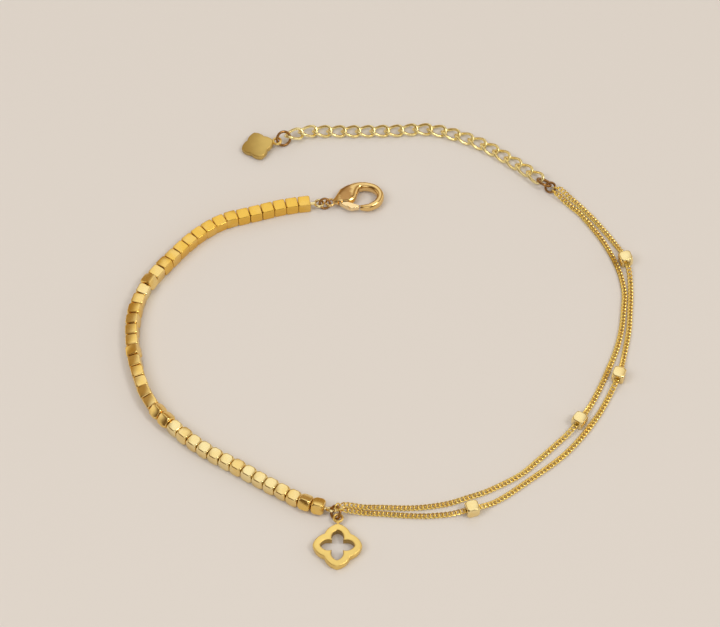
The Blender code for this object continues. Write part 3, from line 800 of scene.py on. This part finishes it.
def lobed_outline(bm, size, valley, bulge):
    """Four lobes, one on each axis: in each, two arcs rise from the valleys to the tip."""
    tip = Vector((size / 2, 0, 0))
    low = Vector((valley, -valley, 0))
    chord = tip - low
    radius = (chord.length_squared / 4 + bulge * bulge) / (2 * bulge)
    swing = 2 * math.asin(chord.length / 2 / radius)
    outward = Vector((chord.y, -chord.x, 0)).normalized()
    centre = (tip + low) / 2 - outward * (radius - bulge)
    start = bm.verts.new(low)
    bmesh.ops.spin(bm, geom=[start], cent=centre, axis=(0, 0, 1), angle=swing, steps=ARC_STEPS)
    bmesh.ops.mirror(bm, geom=bm.verts[:] + bm.edges[:], axis="Y", merge_dist=WELD)
    lobe = bm.verts[:] + bm.edges[:]
    for quarter in (1, 2, 3):
        copy = bmesh.ops.duplicate(bm, geom=lobe)["geom"]
        turn = Matrix.Rotation(quarter * math.pi / 2, 3, "Z")
        bmesh.ops.rotate(bm, verts=only(bmesh.types.BMVert, copy), matrix=turn)
    bmesh.ops.remove_doubles(bm, verts=bm.verts[:], dist=WELD)


trial = bmesh.new()
lobed_outline(trial, PENDANT_SIZE, PENDANT_VALLEY, PENDANT_BULGE)
print("edges of the pendant's outline:", len(trial.edges))
trial.free()

# %% [markdown]
# The window and the rim are bridged, the flat face is extruded to its thickness, and the
# rims are bevelled so that they catch light. A boolean cut would give the same window with
# more faces to clean up. The walls of the window get more of the deep plate tone, as
# painted shade for the shadow and the dark reflections inside the window. The tag is a
# deeper gold than the pendant all over.

# %% Four-lobed plates
PENDANT_THICKNESS = 1.20 * MM
PENDANT_WINDOW = (5.2 * MM, 0.84 * MM, 0.42 * MM)
TAG_SIZE = 5.35 * MM
TAG_VALLEY = 1.42 * MM
TAG_BULGE = 0.22 * MM
TAG_THICKNESS = 0.90 * MM
PLATE_BEVEL = 0.12 * MM


def thicken(bm, thickness):
    """Extrudes faces that lie on z = 0, half the thickness each way."""
    lifted = bmesh.ops.extrude_face_region(bm, geom=bm.faces[:])["geom"]
    tops = only(bmesh.types.BMVert, lifted)
    bmesh.ops.translate(bm, verts=tops, vec=(0, 0, thickness))
    bmesh.ops.translate(bm, verts=bm.verts[:], vec=(0, 0, -thickness / 2))
    bmesh.ops.recalc_face_normals(bm, faces=bm.faces[:])


def ease_rims(bm, thickness, ease, sharp):
    """Rounds the sharp edges of a flat piece that don't run through its thickness."""
    rims = [edge for edge in bm.edges if edge.calc_face_angle(0) > math.radians(sharp)
            and abs(edge.verts[0].co.z - edge.verts[1].co.z) < thickness / 2]
    bmesh.ops.bevel(bm, geom=rims, offset=ease, affect="EDGES", segments=3, profile=0.5,
                    material=-1)


def plate(size, valley, bulge, thickness, window, face_tone, painted_wall_shade):
    """A lobed plate, centred, with a window given as its size, valley and bulge."""
    bm = bmesh.new()
    lobed_outline(bm, size, valley, bulge)
    if window:
        inner_bm = bmesh.new()
        lobed_outline(inner_bm, *window)
        stamp(bm, as_mesh("window", inner_bm), Matrix.Identity(4))
        bmesh.ops.bridge_loops(bm, edges=bm.edges[:])
    else:
        bmesh.ops.contextual_create(bm, geom=bm.edges[:])
    thicken(bm, thickness)
    bm.normal_update()
    ease_rims(bm, thickness, PLATE_BEVEL, 80)
    shade_and_tone_layer = bm.verts.layers.float.new(SHADE_AND_PLATE_TONE)
    for vert in bm.verts:
        # Painted shade: the walls of the window are pushed towards the deep tone
        wall = (window and vert.co.xy.length < window[0] / 2 + WELD
                and abs(vert.co.z) < (thickness - PLATE_BEVEL) / 2)
        vert[shade_and_tone_layer] = painted_wall_shade if wall else face_tone
    return bm


pendant_bm = plate(PENDANT_SIZE, PENDANT_VALLEY, PENDANT_BULGE, PENDANT_THICKNESS,
                   PENDANT_WINDOW, face_tone=0.0, painted_wall_shade=0.6)
tag_bm = plate(TAG_SIZE, TAG_VALLEY, TAG_BULGE, TAG_THICKNESS, None, face_tone=0.4,
               painted_wall_shade=0.4)
print("faces of the pendant and the tag:", len(pendant_bm.faces), len(tag_bm.faces))

# %% [markdown]
# Each plate hangs by a small soldered eye, and lies down on the surface until its far
# lobe touches it. The angle of that drop follows from the height of the eye and the length
# of the plate, so it is worked out and not guessed.

# %% Hang the pendant and the tag
EYE_RADIUS = 0.62 * MM
EYE_WIRE = 0.44 * MM
PENDANT_NECK = 0.65 * MM
NECK_WIRE = 0.38 * MM
NECK_LAP = 0.3 * MM
RING_SLACK = 0.06 * MM


def hang(name, node, bm, size, thickness, neck, eye_centre, away):
    """Adds the eye and its neck, and lays the plate down from the place of its eye."""
    reach = EYE_RADIUS + neck + size
    drop = (math.asin(eye_centre.z / math.hypot(reach, thickness / 2))
            - math.atan2(thickness / 2, reach))
    bmesh.ops.translate(bm, verts=bm.verts[:], vec=(0, size / 2 - reach, 0))
    eye_form = as_form(wire_link(EYE_RADIUS, EYE_RADIUS, 0, EYE_WIRE, 24, 10))
    stamp(bm, eye_form, Matrix.Identity(4))
    if neck:
        neck_end = Vector((0, -EYE_RADIUS - neck - NECK_LAP, 0))
        drawn_wire(bm, [Vector((0, -EYE_RADIUS, 0)), neck_end], NECK_WIRE, 12)
    slope = away * math.cos(drop) - UP * math.sin(drop)
    place = framed(eye_centre, UP.cross(away), -slope)
    bmesh.ops.transform(bm, matrix=place, verts=bm.verts[:])
    bmesh.ops.recalc_face_normals(bm, faces=bm.faces[:])
    print(name, "drops by", round(math.degrees(drop), 1), "degrees")
    add_piece(name, bm, (node,), plate_gold, crease=30)


meet = math.radians(-10)
pendant_across = leaning(pendant_heading, PENDANT_RING_TILT)
pendant_eye = middle("pendant_ring") + PENDANT_RING_RADIUS * (
    pendant_heading * math.cos(meet) + pendant_across * math.sin(meet))
pendant_away = Matrix.Rotation(math.radians(-1), 3, "Z") @ Vector((0, -1, 0))
hang("pierced_pendant", "pendant", pendant_bm, PENDANT_SIZE, PENDANT_THICKNESS, PENDANT_NECK,
     pendant_eye, pendant_away)
tag_eye = middle("tag_ring") + tag_along * (END_RING_RADIUS + RING_SLACK)
tag_away = Matrix.Rotation(math.radians(-14), 3, "Z") @ tag_along
hang("lobed_tag", "end_tag", tag_bm, TAG_SIZE, TAG_THICKNESS, 0.0, tag_eye, tag_away)

# %% [markdown]
# ## The lobster clasp
#
# The clasp is cast in one piece: an eye, a thick shoulder and a hook that curls round to
# a thin nose. It is the one free form here. A subdivided block would need many points
# moved by hand, so the body is swept: an oval profile changes its width and height from
# station to station along the hook's middle line. The profile is drawn a little squarer
# than an ellipse, as a cast and filed form is.

# %% Clasp frame and sections
CLASP_REACH = 8.9 * MM
CLASP_WIDTH = 5.4 * MM
CLASP_THICKNESS = 2.0 * MM
CLASP_TURN = math.radians(2)
FLOOR_PLAY = 0.01 * MM
SMOOTH_STEPS = 6
PROFILE_SIDES = 24
PROFILE_ROUNDNESS = 0.8
# Places along and across, then the profile's width and height, as shares of the clasp's
HOOK_SECTIONS = (
    (0.070, 0.01, 0.16, 0.36), (0.177, 0.07, 0.39, 0.66), (0.310, 0.19, 0.61, 0.84),
    (0.418, 0.36, 0.47, 1.00), (0.544, 0.49, 0.27, 0.90), (0.709, 0.49, 0.22, 0.80),
    (0.860, 0.35, 0.22, 0.80), (0.928, 0.09, 0.22, 0.80), (0.867, -0.16, 0.22, 0.76),
    (0.722, -0.30, 0.19, 0.70), (0.610, -0.31, 0.17, 0.56), (0.535, -0.29, 0.13, 0.42),
)

clasp_eye = back_loop + 2 * back_along * (RING_SLACK + CLASP_RING_RADIUS)
clasp_eye.z = CLASP_THICKNESS / 2 + FLOOR_PLAY
clasp_heading = math.atan2(back_along.y, back_along.x) + CLASP_TURN
clasp_frame = Matrix.Translation(clasp_eye) @ Matrix.Rotation(clasp_heading, 4, "Z")

knots = [Vector((x * CLASP_REACH, y * CLASP_WIDTH, 0))
         for x, y, width, height in HOOK_SECTIONS]
sizes = [Vector((width * CLASP_WIDTH, height * CLASP_THICKNESS, 0))
         for x, y, width, height in HOOK_SECTIONS]

hook_line = smoothed(knots, SMOOTH_STEPS)
stations = [(centre, along, size.x, size.y) for centre, along, size
            in zip(hook_line, along_points(hook_line), smoothed(sizes, SMOOTH_STEPS))]
clasp_bm = bmesh.new()
sweep(clasp_bm, stations, PROFILE_SIDES, PROFILE_ROUNDNESS)
print("hook stations:", len(stations))

# %% [markdown]
# The lever needs a slot through the shoulder and a pin across it. A boolean cut is the
# straight way to a sharp-edged slot in a rounded form. It is done on two short-lived
# objects and the result is read back, so that no live cutter is left in the scene.

# %% Cutting helpers
ROD_SIDES = 20


def carve(bm, cutter):
    """Cuts one closed bmesh out of another and gives the result."""
    shells = []
    for shell in (bm, cutter):
        shells.append(add_object("shell", as_form(shell)))
    modifier = shells[0].modifiers.new("cut", "BOOLEAN")
    modifier.operation = "DIFFERENCE"
    modifier.solver = "EXACT"
    modifier.object = shells[1]
    view_layer = bpy.context.evaluated_depsgraph_get()
    carved = bmesh.new()
    carved.from_mesh(shells[0].evaluated_get(view_layer).to_mesh())
    for item in shells:
        bpy.data.objects.remove(item, do_unlink=True)
    return carved


def prism(outline, thickness):
    """A flat outline extruded half its thickness each way."""
    bm = bmesh.new()
    bmesh.ops.contextual_create(bm, geom=[bm.verts.new((x, y, 0)) for x, y in outline])
    thicken(bm, thickness)
    return bm


def rod(radius, length):
    bm = bmesh.new()
    bmesh.ops.create_cone(bm, cap_ends=True, segments=ROD_SIDES, radius1=radius,
                          radius2=radius, depth=length)
    return bm


print("cutting helpers ready")

# %% [markdown]
# The slot starts behind the pin, and its far wall slopes as the lever does when it is
# pressed in by 25 degrees, with a small clearance. The flat of the shoulder is browner
# than its rim: it takes a deeper plate tone.

# %% Slot, pin and eye
LEVER_HEIGHT = 0.80 * MM
LEVER_THICKNESS = 0.80 * MM
LEVER_CLEARANCE = 0.10 * MM
LEVER_SWING = math.radians(25)
PIN_RADIUS = 0.20 * MM
CLASP_EYE_RADIUS = 0.66 * MM
CLASP_EYE_WIRE = 0.40 * MM
PANEL_DEPTH = 0.62 * MM
PANEL_TONE = 0.6

pivot = Vector((0.205 * CLASP_REACH, -0.06 * CLASP_WIDTH, 0))
tip = Vector((0.520 * CLASP_REACH, -0.275 * CLASP_WIDTH, 0))
shut = math.atan2(tip.y - pivot.y, tip.x - pivot.x)
wide = shut + LEVER_SWING
slot_start, slot_end = 0.135 * CLASP_REACH, 0.465 * CLASP_REACH
panel_start, panel_end = 0.18 * CLASP_REACH, 0.40 * CLASP_REACH
ceiling = pivot.y + (LEVER_HEIGHT / 2 + LEVER_CLEARANCE) / math.cos(wide)
slope = max(math.tan(wide), 0.0)
slot_width = LEVER_THICKNESS + 2 * LEVER_CLEARANCE
far_ceiling = ceiling + slope * (slot_end - pivot.x)
slot_bm = prism(((slot_start, -CLASP_WIDTH), (slot_end, -CLASP_WIDTH),
                 (slot_end, far_ceiling), (slot_start, ceiling)), slot_width)
clasp_bm = carve(clasp_bm, slot_bm)
shade_and_tone_layer = clasp_bm.verts.layers.float.new(SHADE_AND_PLATE_TONE)
for vert in clasp_bm.verts:
    if panel_start < vert.co.x < panel_end and abs(vert.co.z) > PANEL_DEPTH:
        vert[shade_and_tone_layer] = PANEL_TONE
pin_form = as_form(rod(PIN_RADIUS, slot_width + CLASP_THICKNESS / 4))
stamp(clasp_bm, pin_form, Matrix.Translation(pivot))
eye_form = as_form(wire_link(CLASP_EYE_RADIUS, CLASP_EYE_RADIUS, 0, CLASP_EYE_WIRE, 28, 12))
stamp(clasp_bm, eye_form, Matrix.Identity(4))
bmesh.ops.transform(clasp_bm, matrix=clasp_frame, verts=clasp_bm.verts[:])
add_piece("cast_clasp_body", clasp_bm, ("clasp_body",), clasp_gold, crease=40)

# %% [markdown]
# The lever is a flat bar that turns on the pin and closes the hook against its nose, with
# a small tab for the thumb. It is cut from sheet, so it is an outline given a thickness,
# with its edges eased by a bevel and a hole for the pin.

# %% Lever
EDGE_EASE = 0.09 * MM
PIN_CLEARANCE = 0.06 * MM

half = LEVER_HEIGHT / 2
lever_length = (tip - pivot).length
tab = 0.62 * lever_length
# Round the pin, out along the thumb's side over the tab, and back at the tip
outline = [(half * math.cos(angle), half * math.sin(angle))
           for angle in (math.pi * (0.5 + k / 10) for k in range(11))]
outline += [(0.14 * lever_length, -half - 0.16 * MM), (0.28 * lever_length, -half - 0.30 * MM),
            (tab - half, -half - 0.34 * MM), (tab - 0.5 * half, -half - 0.48 * MM),
            (tab, -half - 0.50 * MM), (tab + 0.6 * half, -half - 0.44 * MM),
            (tab + 1.2 * half, -half - 0.22 * MM), (lever_length, -0.75 * half),
            (lever_length, 0.45 * half)]
lever_bm = prism(outline, LEVER_THICKNESS)
ease_rims(lever_bm, LEVER_THICKNESS, EDGE_EASE, 60)
lever_bm = carve(lever_bm, rod(PIN_RADIUS + PIN_CLEARANCE, 2 * LEVER_THICKNESS))
lever_place = clasp_frame @ Matrix.Translation(pivot) @ Matrix.Rotation(shut, 4, "Z")
bmesh.ops.transform(lever_bm, matrix=lever_place, verts=lever_bm.verts[:])
add_piece("thumb_lever", lever_bm, ("clasp_lever",), lever_gold, "clasp_lever")

# %% [markdown]
# ## Surface and light
#
# The surface is plain and pale, and the main light is a large soft panel at the left that
# throws short, faint shadows to the right. Mirror-like beads would show it as a hard white
# spark on every corner, which the photograph doesn't have, so it is kept out of their
# reflections, as a polarising filter does in a studio. A small second light from the right
# is left in them, for the glints on round wire.

# %% Surface
floor_bm = bmesh.new()
bmesh.ops.create_grid(floor_bm, x_segments=1, y_segments=1, size=1.5)
floor = add_object("surface", as_mesh("surface", floor_bm))
paper = bpy.data.materials.new("pale_matt_paper")
paper.use_nodes = True
paper_shader = paper.node_tree.nodes["Principled BSDF"]
paper_shader.inputs["Base Color"].default_value = tint("DCD9D8")
paper_shader.inputs["Roughness"].default_value = 0.7
floor.data.materials.append(paper)
floor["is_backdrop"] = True
print("surface 3 m wide, plain")

# %% Lights
LIGHT_DISTANCE = 1.4


def add_panel(name, azimuth, height, width, power, colour):
    """A square soft light that looks at the middle of the piece, at angles in degrees."""
    data = bpy.data.lights.new(name, "AREA")
    data.size = width
    data.energy = power
    data.color = tint(colour)[:3]
    panel = add_object(name, data)
    turn, rise = math.radians(azimuth), math.radians(height)
    towards = Vector((math.cos(turn) * math.cos(rise), math.sin(turn) * math.cos(rise),
                      math.sin(rise)))
    panel.location = VIEW_CENTRE + towards * LIGHT_DISTANCE
    panel.rotation_euler = (-towards).to_track_quat("-Z", "Y").to_euler()
    return panel


main_light = add_panel("main_light", 205, 52, 0.8, 6.5, "FFFDFA")
main_light.visible_glossy = False
add_panel("sparkle_light", 335, 55, 0.4, 5.0, "FFFAF0")

# %% [markdown]
# Polished metal shows only what it mirrors, so the room matters more than the lamps. From
# this camera the flat tops of the beads mirror what stands behind the piece, high up: a
# broad white strip there makes them shine pale. Faces turned to the left or the right
# mirror a warm grey wall, with a bright window low on each side. A strip in front does for
# the back of the piece what the one behind does for the front, and the corner between them
# stays dim: that is what draws the thin dark lines along the beads' edges. An evenly white
# room would be simpler, but gold in it looks like yellow paint.

# %% Walls and the strip behind
world = bpy.data.worlds.new("studio_room")
bpy.context.scene.world = world
world.use_nodes = True
room = world.node_tree
smooth = {"interpolation_type": "SMOOTHSTEP"}
aim = add_node(room, "ShaderNodeTexCoord")
signed = add_node(room, "ShaderNodeSeparateXYZ", Vector=aim.outputs["Generated"])
aside = add_node(room, "ShaderNodeMath", {"operation": "ABSOLUTE"}, Value=signed.outputs["X"])
across = add_node(room, "ShaderNodeMapRange", smooth, Value=aside.outputs["Value"],
                  From_Min=0.14, From_Max=0.50, To_Min=1.0, To_Max=0.0)
high = add_node(room, "ShaderNodeMapRange", smooth, Value=signed.outputs["Z"],
                From_Min=0.35, From_Max=0.65, To_Max=across.outputs["Result"])
behind = add_node(room, "ShaderNodeMapRange", smooth, Value=signed.outputs["Y"],
                  From_Min=-0.35, From_Max=0.05, To_Max=high.outputs["Result"])
rear = add_node(room, "ShaderNodeMapRange", smooth, Value=signed.outputs["Y"],
                From_Min=-0.25, From_Max=0.35)
wall = add_node(room, "ShaderNodeMix", {"data_type": "RGBA"}, Factor=rear.outputs["Result"])
wall.inputs[6].default_value = tint("6E5A42")
wall.inputs[7].default_value = tint("AA916C")
glow = add_node(room, "ShaderNodeMix", {"data_type": "RGBA"}, Factor=behind.outputs["Result"])
room.links.new(wall.outputs[2], glow.inputs[6])
glow.inputs[7].default_value = tint("FFFEFA")
print("nodes for the walls and the strip behind:", len(room.nodes))

# %% [markdown]
# The other three bright places are made alike, each as limits on where a ray goes. Where
# two of them overlap the brighter one counts, because adding them up would make a glare.

# %% Panels at the sides and in front
right = add_node(room, "ShaderNodeMapRange", smooth, Value=signed.outputs["X"],
                 From_Min=0.62, From_Max=0.90, To_Max=0.9)
low = add_node(room, "ShaderNodeMapRange", smooth, Value=signed.outputs["Z"],
               From_Min=0.55, From_Max=0.25, To_Max=0.9)
beside = add_node(room, "ShaderNodeMapRange", smooth, Value=signed.outputs["Y"],
                  From_Min=-0.40, From_Max=0.0, To_Max=low.outputs["Result"])
left = add_node(room, "ShaderNodeMapRange", smooth, Value=signed.outputs["X"],
                From_Min=-0.60, From_Max=-0.85, To_Max=beside.outputs["Result"])
raised = add_node(room, "ShaderNodeMapRange", smooth, Value=signed.outputs["Z"],
                  From_Min=0.05, From_Max=0.30, To_Max=across.outputs["Result"])
front = add_node(room, "ShaderNodeMapRange", smooth, Value=signed.outputs["Y"],
                 From_Min=-0.35, From_Max=-0.60, To_Max=raised.outputs["Result"])
sides = add_node(room, "ShaderNodeMath", {"operation": "MAXIMUM"},
                 Value=right.outputs["Result"])
room.links.new(left.outputs["Result"], sides.inputs[1])
panels = add_node(room, "ShaderNodeMath", {"operation": "MAXIMUM"},
                  Value=sides.outputs["Value"])
room.links.new(front.outputs["Result"], panels.inputs[1])
whole = add_node(room, "ShaderNodeMix", {"data_type": "RGBA"}, Factor=panels.outputs["Value"])
room.links.new(glow.outputs[2], whole.inputs[6])
whole.inputs[7].default_value = tint("FFFAF0")
room.links.new(whole.outputs[2], room.nodes["Background"].inputs["Color"])
room.nodes["Background"].inputs["Strength"].default_value = 1.05
bpy.context.scene.view_settings.view_transform = "Standard"
print("nodes for the whole room:", len(room.nodes))

# %% [markdown]
# ## Sizes
#
# The sizes of the boxes of the CAD model and of the finished model are printed side by
# side.

# %% Sizes
visual_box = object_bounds()
for name, box in (("CAD", cad_box), ("visual", visual_box)):
    print(name, "size:", [round((high - low) / MM, 2) for low, high in zip(*box)], "mm")
